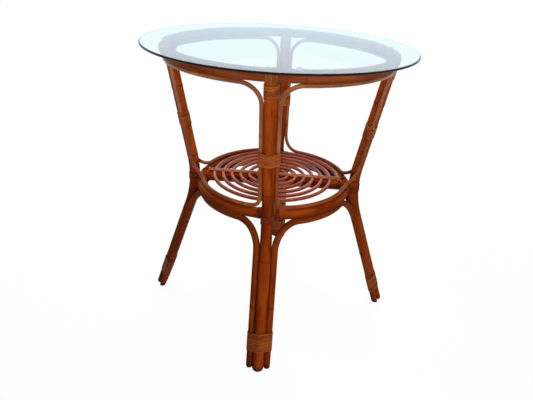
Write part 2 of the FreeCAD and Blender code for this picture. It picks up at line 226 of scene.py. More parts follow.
def cane(path, radius, sides, seed, beside=None, footCut=False, closed=False,
         capRound=caneLook["capRound"], split=False):
    # A round profile carried along a path. The radius swells in a narrow band at each knot and
    # drops in a shallow groove just past it, and wavers a little along the length.
    look = caneLook
    rng = np.random.default_rng(seed)
    s = lengths(path)
    gaps = rng.uniform(*look["knotEvery"], look["knots"])
    marks = np.cumsum(gaps) - gaps[0] * rng.uniform(*look["knotStart"])
    marks = marks[marks < s[-1] - look["knotEnd"]]
    away = s[:, None] - marks[None, :]
    wide = look["knotWide"]
    knotAndFootShade = np.exp(-(away / wide) ** 2).sum(1)
    groove = np.exp(-((away - look["grooveAt"] * wide) / (look["grooveWide"] * wide)) ** 2).sum(1)
    phase = rng.uniform(0, look["wavePhase"], 3)
    if closed:  # a hoop's ends meet, so it doesn't waver
        waver = 0
        way = unit(np.roll(path, -1, 0) - np.roll(path, 1, 0))
    else:
        waver = (np.sin(s[:, None] * look["waves"] + phase) * look["waveShares"]).sum(1)
        way = unit(np.gradient(path, axis=0))
    r = radius * (1 + look["knotSwell"] * (knotAndFootShade - look["groove"] * groove)
                  + look["waver"] * waver / sum(look["waveShares"]))
    if beside is None:  # reference direction: away from the table's axis
        ref = path * np.array([1, 1, 0])
    else:
        ref = np.broadcast_to(beside, path.shape)
    n1 = unit(ref - way * (ref * way).sum(1, keepdims=True))
    n2 = np.cross(way, n1)
    turn = np.linspace(0, 2 * math.pi, sides, endpoint=False)
    ringX, ringY = np.cos(turn), np.sin(turn)
    if split:  # a cane split along its middle, round side towards beside
        ringX = np.maximum(ringX, 0)
    offset = n1[:, None] * ringX[None, :, None] + n2[:, None] * ringY[None, :, None]
    grid = path[:, None] + offset * r[:, None, None]
    along = s + rng.uniform(0, look["grainShift"])
    space = np.stack(np.broadcast_arrays(r[:, None] * ringX, r[:, None] * ringY, along[:, None]), -1)
    knotAndFootShade = np.broadcast_to(knotAndFootShade[:, None], grid.shape[:2])
    if closed:
        return shapeOf(grid, space, knotAndFootShade, True)
    rows, spaces, knots = [grid], [space], [knotAndFootShade]
    bevel = min(capRound, radius * look["capMost"])
    shrink = (radius - bevel) / radius
    for end in (0,) if footCut else (0, -1):  # two smaller rings round off each free end
        hub = path[end]
        spokes = grid[end] - hub
        outward = way[end] * (1 if end else -1)
        mid = hub + spokes * (1 - look["capMidIn"] * (1 - shrink)) + outward * bevel * look["capMidOut"]
        tip = hub + spokes * shrink + outward * bevel
        place = len(rows) if end else 0
        rows.insert(place, np.stack([mid, tip] if end else [tip, mid]))
        spaces.insert(place, np.stack([space[end]] * 2))
        knots.insert(place, np.stack([knotAndFootShade[end]] * 2))
    if footCut:  # the last rings slide along the cane on to the floor, with a small round edge
        d = way[-1]
        for z, inset, dark in footRound:
            ring = path[-1] + (grid[-1] - path[-1]) * (radius - inset) / radius
            rows.append((ring + d * ((z - ring[:, 2:]) / d[2]))[None])
            spaces.append(space[-1:])
            # painted shade on the bottom rings
            knots.append(np.full((1, sides), dark))
    return shapeOf(np.concatenate(rows), np.concatenate(spaces), np.concatenate(knots))


def ringCane(h):  # a closed cane on a level circle about the table's axis
    n = int(2 * math.pi * h["reach"] / pathStep)
    a = np.linspace(0, 2 * math.pi, n, endpoint=False)
    path = np.stack([h["reach"] * np.cos(a), h["reach"] * np.sin(a), np.full(n, h["z"])], 1)
    return cane(path, h["r"], h["sides"], h["seed"], beside=vec(0, 0, 1), closed=True)


# Peel strips: a thin crowned section carried along a path, flat side on the pole

peel = {"thick": 0.0014, "clear": 0.0002, "around": 40, "turnStep": 0.16, "startAt": (0.15, 1),
        "lastTurn": 0.93, "cover": 0.965, "wander": 0.00012, "wanderWave": 5.1, "wanderPhase": 6,
        "shades": 40}
crown = np.array([  # across and up, in shares of the width and the thickness
    (-.5, 0), (-.5, .55), (-.43, .86), (-.25, 1), (0, 1.06), (.25, 1), (.43, .86), (.5, .55), (.5, 0)])


def strip(path, normal, across, width, turnOf, thick=peel["thick"]):
    # The crown at each point of the path, its width laid across and its height along the normal.
    s = lengths(path)
    w = crown[:, 0] * width
    h = crown[:, 1] * thick
    grid = path[:, None] + normal[:, None] * h[None, :, None] + across[:, None] * w[None, :, None]
    space = np.stack(np.broadcast_arrays(s[:, None], w[None, :], turnOf[:, None]), -1)
    return shapeOf(grid[:, ::-1], space[:, ::-1], np.zeros(grid.shape[:2]))


def hullTurn(circles, startAt):
    # One turn of a taut line round circles (x, y, r) listed anticlockwise: points and normals.
    hubs = np.array([c[:2] for c in circles])
    radii = np.array([c[2] for c in circles])
    if len(circles) == 1:
        a = np.linspace(0, 2 * math.pi, peel["around"], endpoint=False)
        normal = np.stack([np.cos(a), np.sin(a)], 1)
        points = hubs[0] + radii[0] * normal
    else:
        gap = np.roll(hubs, -1, 0) - hubs
        drop = radii - np.roll(radii, -1)
        bearing = np.arctan2(gap[:, 1], gap[:, 0]) - np.arccos(drop / np.hypot(gap[:, 0], gap[:, 1]))
        points, normal = [], []
        for i in range(len(circles)):
            sweep = (bearing[i] - bearing[i - 1]) % (2 * math.pi)
            a = bearing[i - 1] + np.linspace(0, sweep, max(3, int(sweep / peel["turnStep"])))
            n = np.stack([np.cos(a), np.sin(a)], 1)
            normal.append(n)
            points.append(hubs[i] + radii[i] * n)
        points, normal = np.concatenate(points), np.concatenate(normal)
    first = np.argmax(points @ np.array(startAt))
    return np.roll(points, -first, 0), np.roll(normal, -first, 0)


def winding(circles, turns, length, base, heading, seed):
    # Peel wound round the circles, climbing evenly along heading and wandering a little.
    # Local x is sideways, y inwards.
    rng = np.random.default_rng(seed)
    grown = [(x, y, r + peel["clear"]) for x, y, r in circles]
    points, normal = hullTurn(grown, peel["startAt"])
    flat = np.concatenate([np.tile(points, (turns, 1)), points[:1]])
    norm = np.concatenate([np.tile(normal, (turns, 1)), normal[:1]])
    s = lengths(flat)
    pitch = length / (turns + peel["lastTurn"])
    width = pitch * peel["cover"]
    z = width / 2 + s / s[-1] * pitch * turns
    turnOf = s / s[-1] * turns
    z = z + peel["wander"] * np.sin(turnOf * peel["wanderWave"] + rng.uniform(0, peel["wanderPhase"]))
    side = vec(0, 1, 0)
    inner = np.cross(heading, side)
    path = base + flat[:, :1] * side + flat[:, 1:] * inner + z[:, None] * heading
    outward = norm[:, :1] * side + norm[:, 1:] * inner
    across = np.broadcast_to(heading, path.shape)
    return strip(path, outward, across, width, turnOf + rng.uniform(0, peel["shades"]))


# Materials

def newMaterial(name):
    m = bpy.data.materials.new(name)
    m.use_nodes = True
    m.node_tree.nodes.clear()
    return m, m.node_tree.nodes, m.node_tree.links


def addNode(nodes, kind, **values):
    n = nodes.new(kind)
    for key, value in values.items():
        setattr(n, key, value)
    return n


def newSurface(name):  # a material with one Principled shader
    m, nodes, links = newMaterial(name)
    out = addNode(nodes, "ShaderNodeOutputMaterial")
    bsdf = addNode(nodes, "ShaderNodeBsdfPrincipled")
    links.new(bsdf.outputs[0], out.inputs[0])
    return m, nodes, links, bsdf


def setSockets(node, values):
    for name, value in values.items():
        node.inputs[name].default_value = value


def mixShaders(nodes, links, factor, a, b, out):
    mix = addNode(nodes, "ShaderNodeMixShader")
    links.new(factor, mix.inputs[0])
    links.new(a.outputs[0], mix.inputs[1])
    links.new(b.outputs[0], mix.inputs[2])
    links.new(mix.outputs[0], out.inputs[0])


def feed(links, socket, value):  # a link where the value is a socket, else the socket's own number
    if isinstance(value, bpy.types.NodeSocket):
        links.new(value, socket)
    else:
        socket.default_value = value


def mixColour(nodes, links, factor, a, b, blend="MIX"):
    m = addNode(nodes, "ShaderNodeMix", data_type="RGBA", blend_type=blend)
    for socket, value in ((m.inputs["Factor"], factor), (m.inputs[6], a), (m.inputs[7], b)):
        feed(links, socket, value)
    return m.outputs[2]


def mathNode(nodes, links, operation, *values):
    m = addNode(nodes, "ShaderNodeMath", operation=operation)
    for socket, value in zip(m.inputs, values):
        feed(links, socket, value)
    return m.outputs[0]


def scaled(nodes, links, vector, scale):
    m = addNode(nodes, "ShaderNodeVectorMath", operation="MULTIPLY")
    links.new(vector, m.inputs[0])
    m.inputs[1].default_value = scale
    return m.outputs[0]


def ramp(nodes, links, value, low, high):  # smooth step from low to high
    m = addNode(nodes, "ShaderNodeMapRange", interpolation_type="SMOOTHSTEP")
    links.new(value, m.inputs["Value"])
    setSockets(m, {"From Min": low, "From Max": high})
    return m.outputs["Result"]


def noise(nodes, links, vector, scale, detail, roughness=0.55):
    n = addNode(nodes, "ShaderNodeTexNoise")
    links.new(vector, n.inputs["Vector"])
    setSockets(n, {"Scale": scale, "Detail": detail, "Roughness": roughness})
    return n.outputs["Fac"]


def pattern(nodes, links, space, look):  # noise over a space stretched by the look's scale
    return noise(nodes, links, scaled(nodes, links, space, look["scale"]), 1, look["detail"])


def mask(nodes, links, value, look):  # smooth step over the look's reach, times its share
    return mathNode(nodes, links, "MULTIPLY", ramp(nodes, links, value, *look["reach"]), look["share"])


def bumped(nodes, links, height, bsdf, strength, distance):
    b = addNode(nodes, "ShaderNodeBump")
    setSockets(b, {"Strength": strength, "Distance": distance})
    links.new(height, b.inputs["Height"])
    links.new(b.outputs[0], bsdf.inputs["Normal"])


skin = {
    "fibre": {"scale": (900, 900, 14), "detail": 3, "reach": (0.44, 0.72), "share": 0.45},
    "blotch": {"scale": (55, 55, 11), "detail": 3, "reach": (0.30, 0.66)},
    "fleck": {"scale": (420, 420, 60), "detail": 2, "reach": (0.62, 0.74), "share": 0.55},
    "cloud": {"scale": (18, 18, 5), "detail": 2, "reach": (0.48, 0.78)},
    "knotAndFootShade": {"reach": (0.25, 1.0), "share": 0.6},
    "roughVary": 0.22, "fibreTall": 0.6, "bump": 0.25, "deep": 0.0006, "coatRough": 0.18}


def grainGroup():
    # Stained cane skin: fine fibres along the length, long blotches of stain and dark flecks.
    g = bpy.data.node_groups.new("caneGrain", "ShaderNodeTree")
    face = g.interface
    face.new_socket("Vector", in_out="INPUT", socket_type="NodeSocketVector")
    face.new_socket("KnotAndFootShade", in_out="INPUT", socket_type="NodeSocketFloat")
    face.new_socket("Rough", in_out="INPUT", socket_type="NodeSocketFloat")
    for name in ("Dark", "Base", "Light"):
        face.new_socket(name, in_out="INPUT", socket_type="NodeSocketColor")
    face.new_socket("Color", in_out="OUTPUT", socket_type="NodeSocketColor")
    face.new_socket("Roughness", in_out="OUTPUT", socket_type="NodeSocketFloat")
    face.new_socket("Height", in_out="OUTPUT", socket_type="NodeSocketFloat")
    nodes, links = g.nodes, g.links
    put = addNode(nodes, "NodeGroupInput").outputs
    out = addNode(nodes, "NodeGroupOutput").inputs
    kinds = ("fibre", "blotch", "fleck", "cloud")
    fibre, blotch, fleck, cloud = (pattern(nodes, links, put["Vector"], skin[kind]) for kind in kinds)
    shade = ramp(nodes, links, blotch, *skin["blotch"]["reach"])
    c = mixColour(nodes, links, shade, put["Dark"], put["Base"])
    c = mixColour(nodes, links, ramp(nodes, links, cloud, *skin["cloud"]["reach"]), c, put["Light"])
    c = mixColour(nodes, links, mask(nodes, links, fibre, skin["fibre"]), c, put["Light"])
    c = mixColour(nodes, links, mask(nodes, links, fleck, skin["fleck"]), c, put["Dark"])
    # knots darken the skin, and so does the painted shade on the feet's bottom rings
    c = mixColour(nodes, links, mask(nodes, links, put["KnotAndFootShade"], skin["knotAndFootShade"]), c, put["Dark"])
    links.new(c, out["Color"])
    rough = mathNode(nodes, links, "MULTIPLY_ADD", blotch, skin["roughVary"], put["Rough"])
    links.new(rough, out["Roughness"])
    tall = mathNode(nodes, links, "MULTIPLY_ADD", fibre, skin["fibreTall"], blotch)
    links.new(tall, out["Height"])
    return g


caneGrain = grainGroup()
# Painted shade by height: full up to the first reach from its level, gone at the second
# Painted shade: poles, hoops and peel darker towards the floor
floorwardShade = {"level": 0, "reach": (0.24, 0.56), "colour": (0.76, 0.71, 0.66, 1)}  # deeper towards the floor
footEdgeShade = {"level": 0, "reach": (0.002, 0.020), "colour": (0.40, 0.36, 0.36, 1)}  # painted shade at the feet, where they stand on the floor
# Painted shade where the legs and the hoop meet, and below the lower hoop
waistShade = {"level": 0.375, "reach": (0.040, 0.115), "colour": (0.54, 0.40, 0.36, 1)}
underHoopShade = {"level": 0.368, "reach": (0.011, 0.027), "colour": (0.46, 0.38, 0.36, 1)}
plainShadeBands = (floorwardShade, footEdgeShade)


def paintedShadeByHeight(nodes, links, colour, shadeBands):  # the colour times each painted shade's colour, by how near its level is
    spot = addNode(nodes, "ShaderNodeSeparateXYZ")
    links.new(addNode(nodes, "ShaderNodeTexCoord").outputs["Object"], spot.inputs[0])
    # each band here is painted shade
    for stainAndShade in shadeBands:
        gap = mathNode(nodes, links, "SUBTRACT", spot.outputs["Z"], stainAndShade["level"])
        gap = mathNode(nodes, links, "ABSOLUTE", gap)
        near = mathNode(nodes, links, "SUBTRACT", 1, ramp(nodes, links, gap, *stainAndShade["reach"]))
        colour = mixColour(nodes, links, near, colour, stainAndShade["colour"], "MULTIPLY")
    return colour


def caneMaterial(name, tones, rough, gloss, coat, shadeBands=plainShadeBands):
    m, nodes, links, bsdf = newSurface(name)
    space = addNode(nodes, "ShaderNodeAttribute", attribute_name="caneSpace")
    knotAndFootShade = addNode(nodes, "ShaderNodeAttribute", attribute_name="knotAndFootShade")
    g = addNode(nodes, "ShaderNodeGroup", node_tree=caneGrain)
    links.new(space.outputs["Vector"], g.inputs["Vector"])
    links.new(knotAndFootShade.outputs["Fac"], g.inputs["KnotAndFootShade"])
    for socket, tone in zip(("Dark", "Base", "Light"), tones):
        g.inputs[socket].default_value = (*tone, 1)
    g.inputs["Rough"].default_value = rough
    links.new(paintedShadeByHeight(nodes, links, g.outputs["Color"], shadeBands), bsdf.inputs["Base Color"])
    links.new(g.outputs["Roughness"], bsdf.inputs["Roughness"])
    bumped(nodes, links, g.outputs["Height"], bsdf, skin["bump"], skin["deep"])
    setSockets(bsdf, {
        "Specular IOR Level": gloss, "Coat Weight": coat, "Coat Roughness": skin["coatRough"]})
    return m


peelSkin = {
    "fibre": {"scale": (18, 1500, 3.1), "detail": 2, "reach": (0.45, 0.7), "share": 0.18},
    "stainAndShade": {"scale": (30, 40, 0.4), "detail": 2, "reach": (0.3, 0.7)},
    # edge: painted shade in the creases between turns
    "edge": {"reach": (0.0018, 0.0028), "share": 0.75},
    "turnVary": 0.55, "bump": 0.2, "deep": 0.0004,
    "shader": {"Roughness": 0.42, "Specular IOR Level": 0.04, "Coat Weight": 0.04, "Coat Roughness": 0.25}}


def peelMaterial(name, tones):
    # Split peel: fibres run along the strip, each turn has its own tone, and painted shade darkens the
    # edges, in the creases between turns.
    dark, base, light = ((*tone, 1) for tone in tones)
    m, nodes, links, bsdf = newSurface(name)
    space = addNode(nodes, "ShaderNodeAttribute", attribute_name="caneSpace").outputs["Vector"]
    fibre = pattern(nodes, links, space, peelSkin["fibre"])
    stainAndShade = pattern(nodes, links, space, peelSkin["stainAndShade"])
    split = addNode(nodes, "ShaderNodeSeparateXYZ")
    links.new(space, split.inputs[0])
    each = addNode(nodes, "ShaderNodeTexWhiteNoise", noise_dimensions="1D")
    links.new(mathNode(nodes, links, "FLOOR", split.outputs["Z"]), each.inputs["W"])
    c = mixColour(nodes, links, ramp(nodes, links, stainAndShade, *peelSkin["stainAndShade"]["reach"]), dark, base)
    shade = mathNode(nodes, links, "MULTIPLY", each.outputs["Value"], peelSkin["turnVary"])
    c = mixColour(nodes, links, shade, c, light)
    c = mixColour(nodes, links, mask(nodes, links, fibre, peelSkin["fibre"]), c, light)
    # Painted shade: darker towards each strip's edges, where the turns meet
    far = mathNode(nodes, links, "ABSOLUTE", split.outputs["Y"])
    c = mixColour(nodes, links, mask(nodes, links, far, peelSkin["edge"]), c, dark)
    links.new(paintedShadeByHeight(nodes, links, c, plainShadeBands), bsdf.inputs["Base Color"])
    bumped(nodes, links, fibre, bsdf, peelSkin["bump"], peelSkin["deep"])
    setSockets(bsdf, peelSkin["shader"])
    return m


# Tones are dark, base and light
poleTones = ((0.12, 0.012, 0.0009), (0.250, 0.039, 0.0036), (0.37, 0.080, 0.009))
caneFinishes = {
    "poleFinish": {"tones": poleTones, "rough": 0.42, "gloss": 0.02, "coat": 0.0,
                   "shadeBands": (floorwardShade, waistShade, footEdgeShade)},
    # The lower hoop: the poles' tones, with painted shade on its underside
    "rimFinish": {"tones": poleTones, "rough": 0.42, "gloss": 0.02, "coat": 0.0,
                  "shadeBands": (floorwardShade, underHoopShade)},
    "archFinish": {"tones": ((0.13, 0.026, 0.0045), (0.22, 0.058, 0.0110), (0.34, 0.125, 0.036)),
                   "rough": 0.25, "gloss": 0.05, "coat": 0.5},
    "hoopFinish": {"tones": ((0.095, 0.013, 0.0030), (0.165, 0.035, 0.0090), (0.25, 0.066, 0.020)),
                   "rough": 0.42, "gloss": 0.03, "coat": 0.0},
    # Braces: darker than the poles, painted shade of the legs falling on them
    "braceToneAndPaintedShade": {"tones": ((0.095, 0.010, 0.0010), (0.172, 0.028, 0.0030), (0.27, 0.060, 0.009)),
                    "rough": 0.42, "gloss": 0.02, "coat": 0.0},
    # Rods: lighter than the poles, painted light where the coils and laths shade them
    "rodToneAndPaintedLight": {"tones": ((0.20, 0.023, 0.0025), (0.37, 0.056, 0.0070), (0.50, 0.108, 0.019)),
                  "rough": 0.42, "gloss": 0.02, "coat": 0.0},
    "caneFinish": {"tones": ((0.12, 0.020, 0.0030), (0.20, 0.043, 0.0070), (0.30, 0.096, 0.025)),
                   "rough": 0.25, "gloss": 0.05, "coat": 0.16},
    "coilFinish": {"tones": ((0.20, 0.019, 0.0018), (0.37, 0.050, 0.0050), (0.52, 0.105, 0.016)),
                   "rough": 0.25, "gloss": 0.06, "coat": 0.65},
    # Laths: pale pink tones, partly painted highlight along their tops
    "lathToneAndPaintedHighlight": {"tones": ((0.20, 0.043, 0.013), (0.32, 0.095, 0.040), (0.42, 0.155, 0.078)),
                   "rough": 0.25, "gloss": 0.06, "coat": 0.7},
}
peelFinishes = {
    "peelFinish": ((0.10, 0.015, 0.0015), (0.25, 0.050, 0.0055), (0.38, 0.106, 0.017)),
    "strapFinish": ((0.08, 0.013, 0.0020), (0.17, 0.036, 0.0065), (0.29, 0.085, 0.024)),
    "lashFinish": ((0.045, 0.005, 0.0007), (0.105, 0.015, 0.0020), (0.17, 0.033, 0.006)),
}
finishes = {name: caneMaterial(name, **values) for name, values in caneFinishes.items()}
finishes.update({name: peelMaterial(name, tones) for name, tones in peelFinishes.items()})

glassLook = {
    "clear": {"Base Color": (0.862, 0.864, 0.86, 1), "Roughness": 0.0, "IOR": 1.5,
              "Transmission Weight": 1.0},
    "edge": {"Roughness": 0.2, "Specular IOR Level": 0.08},
    "edgeDark": (0.0015, 0.0025, 0.0025, 1), "edgeLight": (0.005, 0.008, 0.007, 1),
    "edgeScale": 14, "edgeDetail": 2}


def clearGlass():  # lets lamps through, so that the table below isn't in its shadow
    m, nodes, links = newMaterial("clearGlass")
    out = addNode(nodes, "ShaderNodeOutputMaterial")
    bsdf = addNode(nodes, "ShaderNodeBsdfPrincipled")
    setSockets(bsdf, glassLook["clear"])
    clear = addNode(nodes, "ShaderNodeBsdfTransparent")
    path = addNode(nodes, "ShaderNodeLightPath")
    mixShaders(nodes, links, path.outputs["Is Shadow Ray"], bsdf, clear, out)
    return m


def glassEdge():
    m, nodes, links, bsdf = newSurface("glassEdge")
    spot = addNode(nodes, "ShaderNodeTexCoord").outputs["Object"]
    wisp = noise(nodes, links, spot, glassLook["edgeScale"], glassLook["edgeDetail"])
    c = mixColour(nodes, links, wisp, glassLook["edgeDark"], glassLook["edgeLight"])
    links.new(c, bsdf.inputs["Base Color"])
    setSockets(bsdf, glassLook["edge"])
    return m


glassFinishes = [clearGlass(), glassEdge()]

scuffs = {"scale": 260, "detail": 3, "dark": 0.82, "roughVary": 0.15}


def plainFinish(name, colour, rough, metal, transmission):
    m, nodes, links, bsdf = newSurface(name)
    spot = addNode(nodes, "ShaderNodeTexCoord").outputs["Object"]
    scuff = noise(nodes, links, spot, scuffs["scale"], scuffs["detail"])
    dull = (*(v * scuffs["dark"] for v in colour), 1)
    links.new(mixColour(nodes, links, scuff, dull, (*colour, 1)), bsdf.inputs["Base Color"])
    r = mathNode(nodes, links, "MULTIPLY_ADD", scuff, scuffs["roughVary"], rough)
    links.new(r, bsdf.inputs["Roughness"])
    setSockets(bsdf, {"Metallic": metal, "Transmission Weight": transmission})
    return m


padFinish = plainFinish("padFinish", (0.75, 0.78, 0.80), rough=0.15, metal=0, transmission=0.6)
screwFinish = plainFinish("screwFinish", (0.55, 0.53, 0.50), rough=0.3, metal=1, transmission=0)
for node, finish in (("glass_pads", padFinish), ("top_screws", screwFinish), ("waist_screws", screwFinish)):
    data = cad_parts[node].data
    data.materials.clear()
    data.materials.append(finish)
print("materials made")


def buildOnFrame(name, shapes, finish, node=None):  # stands for the CAD node of its name, if no other
    build(name, shapes, [finishes[finish]], "frame", node or name)


# Poles

buildOnFrame("topHoop", [ringCane(topHoop)], "hoopFinish", "top_ring")
buildOnFrame("lowHoop", [ringCane(lowHoop)], "rimFinish", "lower_ring")
legLine = joined(
    straight(topPoint - up * topHoop["r"] * leg["mouth"], bendTop), arc(bendTop, -up, bendBottom),
    straight(bendBottom, lowerAxis(leg["cutZ"])))
for i, (name, angle) in enumerate(legAngles.items()):
    shape = cane(spun(legLine, angle), leg["r"], leg["sides"], leg["seed"] + i, footCut=True)
    buildOnFrame("leg_" + name, [shape], "poleFinish")
print("hoops and legs built")

# Thin canes and braces of each side, between the legs at -45 and 45 degrees.
# Upper, lower and brace are the reach of each bend; the gap lets neighbours touch.

bends = {"caneR": 0.005, "braceR": 0.009, "gap": -0.0003, "upper": 0.050, "lower": 0.045, "brace": 0.058,
         "midShare": 0.467, "butt": 0.0005, "caneSides": 14, "braceSides": 18,
         "upperSeed": 40, "lowerSeed": 50, "braceSeed": 60}
caneSide = leg["r"] + bends["caneR"] + bends["gap"]
braceInset = leg["r"] - bends["braceR"]
braceSide = math.sqrt((leg["r"] + bends["braceR"] + bends["gap"]) ** 2 - braceInset ** 2)
midZ = lowHoop["z"] + bends["midShare"] * (topHoop["z"] - lowHoop["z"])


def onLeg(point, side):  # a point of the leg's plane, turned to the leg at -45 degrees and moved sideways
    return polar(-45, point[0], side, point[2])


def wayOnLeg(way):
    return polar(-45, way[0], 0, way[2])


def sideCane(legRun, lastWay, hoopReach, hoopZ, run):
    # Up or down one leg, round on to the hoop, along it, and back by its mirror image.
    swing = 45 - math.degrees(math.asin(run / hoopReach))
    landing = polar(-swing, hoopReach, 0, hoopZ)
    a = np.radians(np.linspace(-swing, 0, int(math.radians(swing) * hoopReach / pathStep)))
    over = np.stack([hoopReach * np.cos(a), hoopReach * np.sin(a), np.full(len(a), hoopZ)], 1)
    half = joined(legRun, biarc(legRun[-1], lastWay, landing, polar(-swing, 0, 1, 0)), over)
    return joined(half, (half * np.array([1, -1, 1]))[::-1])


upperZ = topHoop["z"] - topHoop["r"] - bends["caneR"] - bends["gap"]
upperRun = straight(onLeg(upperAxis(midZ + bends["butt"] / 2), caneSide),
                    onLeg(upperAxis(upperZ - bends["upper"]), caneSide))
upperLine = sideCane(upperRun, wayOnLeg(up), topHoop["reach"], upperZ, caneSide + bends["upper"])
lowerZ = lowHoop["z"] + lowHoop["r"] + bends["caneR"] + bends["gap"]
lowerRun = straight(onLeg(upperAxis(midZ - bends["butt"] / 2), caneSide),
                    onLeg(upperAxis(lowerZ + bends["lower"]), caneSide))
lowerLine = sideCane(lowerRun, wayOnLeg(-up), lowHoop["reach"], lowerZ, caneSide + bends["lower"])
braceZ = lowHoop["z"] - lowHoop["r"] - bends["braceR"] - bends["gap"]
braceTop = min(bendBottom[2], braceZ - bends["brace"])
braceRun = straight(onLeg(lowerAxis(leg["cutZ"]) + inward * braceInset, braceSide),
                    onLeg(lowerAxis(braceTop) + inward * braceInset, braceSide))
braceLine = sideCane(braceRun, wayOnLeg(-down), lowHoop["reach"], braceZ, braceSide + bends["brace"])


def bothFeet(path, radius, sides, seed):
    # A cane that stands on the floor at both ends: its two first rings slide there as the last ones do.
    shape = cane(path, radius, sides, seed, footCut=True)
    d = unit(path[1] - path[0])
    hub = path[0]
    spokes = shape["verts"][2 * sides:3 * sides] - hub  # of the ring at the path's start
    for k, (z, inset, dark) in enumerate((footRound[2], footRound[1])):
        ring = hub + spokes * (radius - inset) / radius
        shape["verts"][k * sides:(k + 1) * sides] = ring + d * ((z - ring[:, 2:]) / d[2])
        # the same painted shade on the first rings
        shape["knotAndFootShade"][k * sides:(k + 1) * sides] = dark
    shape["verts"][-2] = shape["verts"][:sides].mean(0)
    return shape


for i, (name, angle) in enumerate(sideAngles.items()):
    upper = cane(spun(upperLine, angle), bends["caneR"], bends["caneSides"], bends["upperSeed"] + i)
    lower = cane(spun(lowerLine, angle), bends["caneR"], bends["caneSides"], bends["lowerSeed"] + i)
    brace = bothFeet(spun(braceLine, angle), bends["braceR"], bends["braceSides"], bends["braceSeed"] + i)
    buildOnFrame("upper_arch_" + name, [upper], "archFinish")
    buildOnFrame("lower_arch_" + name, [lower], "caneFinish")
    buildOnFrame("brace_" + name, [brace], "braceToneAndPaintedShade")
print("arches and braces built")

# Shelf

shelf = {"rodR": 0.015, "rodRise": 0.0028, "rodSaddle": 0.004, "rodButt": 0.7,
         "rodSides": 26, "rodSeed": 70,
         "coilR": 0.005, "coilSeat": 0.0048, "coilSides": 14, "coilSeed": 80, "pitch": 0.0245,
         "rimGap": 0.0005, "offset": 0.0035, "quarters": 26, "start": 45,
         "lathR": 0.006, "lathSeat": 0.0015, "lathCap": 0.0002, "lathSides": 20, "lathSeed": 84}
rodAngles = {"long": 45, "front": 315, "back": 135}
upright = vec(0, 0, 1)
rodReach = lowHoop["reach"] - lowHoop["r"] + shelf["rodSaddle"]
rodZ = lowHoop["z"] + shelf["rodRise"]
for i, (name, angle) in enumerate(rodAngles.items()):
    near = -rodReach if name == "long" else shelf["rodR"] * shelf["rodButt"]
    line = spun(straight(vec(near, 0, rodZ), vec(rodReach, 0, rodZ)), angle)
    rod = cane(line, shelf["rodR"], shelf["rodSides"], shelf["rodSeed"] + i, beside=upright)
    buildOnFrame("shelf_rod_" + name, [rod], "rodToneAndPaintedLight")

coilZ = rodZ + shelf["rodR"] + shelf["coilR"] + bends["gap"] - shelf["coilSeat"]
coilReach = lowHoop["reach"] - lowHoop["r"] - shelf["rimGap"] - shelf["coilR"]


def spiralLine():
    # Quarter arcs, each a quarter pitch tighter than the last about a hub moved by as much.
    bearing = shelf["start"]
    radius = coilReach - shelf["offset"]
    hub = polar(bearing, shelf["offset"], 0, coilZ)
    step = shelf["pitch"] / 4
    first = hub + polar(bearing, radius, 0, 0)
    runs = [straight(first - polar(bearing, 0, 2 * shelf["coilR"], 0), first)]
    for quarter in range(shelf["quarters"]):
        a = np.radians(bearing + np.linspace(0, 90, max(8, int(radius * math.pi / 2 / pathStep))))
        runs.append(hub + np.stack([radius * np.cos(a), radius * np.sin(a), 0 * a], 1))
        bearing += 90
        hub = hub + polar(bearing, step, 0, 0)
        radius -= step
    last = runs[-1][-1]
    runs.append(straight(last, last + polar(bearing, 0, 2 * shelf["coilR"], 0)))
    return joined(*runs)


coil = cane(spiralLine(), shelf["coilR"], shelf["coilSides"], shelf["coilSeed"], beside=upright)
buildOnFrame("shelf_spiral", [coil], "coilFinish")
lathZ = coilZ + shelf["coilR"] + bends["gap"] - shelf["lathSeat"]
lathReach = coilReach + shelf["coilR"]
for i, (name, angle) in enumerate(rodAngles.items()):
    near = -lathReach if name == "long" else shelf["lathR"]
    line = straight(vec(near + bends["gap"], 0, lathZ), vec(lathReach - bends["gap"], 0, lathZ))
    lath = cane(spun(line, angle), shelf["lathR"], shelf["lathSides"], shelf["lathSeed"] + i,
                beside=upright, capRound=shelf["lathCap"], split=True)
    buildOnFrame("shelf_lath_" + name, [lath], "lathToneAndPaintedHighlight")
print("shelf built")

# Bindings

bind = {"topDrop": 0.0135, "topLong": 0.0395, "topTurns": 6, "topSeed": 100,
        "midLong": 0.040, "midTurns": 6, "midSeed": 110,
        "footZ": 0.069, "footLong": 0.056, "footTurns": 9, "footSeed": 130}
legCircle = (0, 0, leg["r"])
caneBundle = [(caneSide, 0, bends["caneR"]), legCircle, (-caneSide, 0, bends["caneR"]), legCircle]
footBundle = [
    (braceSide, braceInset, bends["braceR"]), (-braceSide, braceInset, bends["braceR"]), legCircle]
sideways = vec(0, 1, 0)

strap = {"count": 5, "wide": 0.005, "gap": 0.0003, "clear": 0.0003, "lip": 0.007, "endGap": 0.0002,
         "wideVary": (0.97, 1.03), "thickVary": (0.9, 1.05), "overPoints": 26, "sidePoints": 5, "seed": 90}


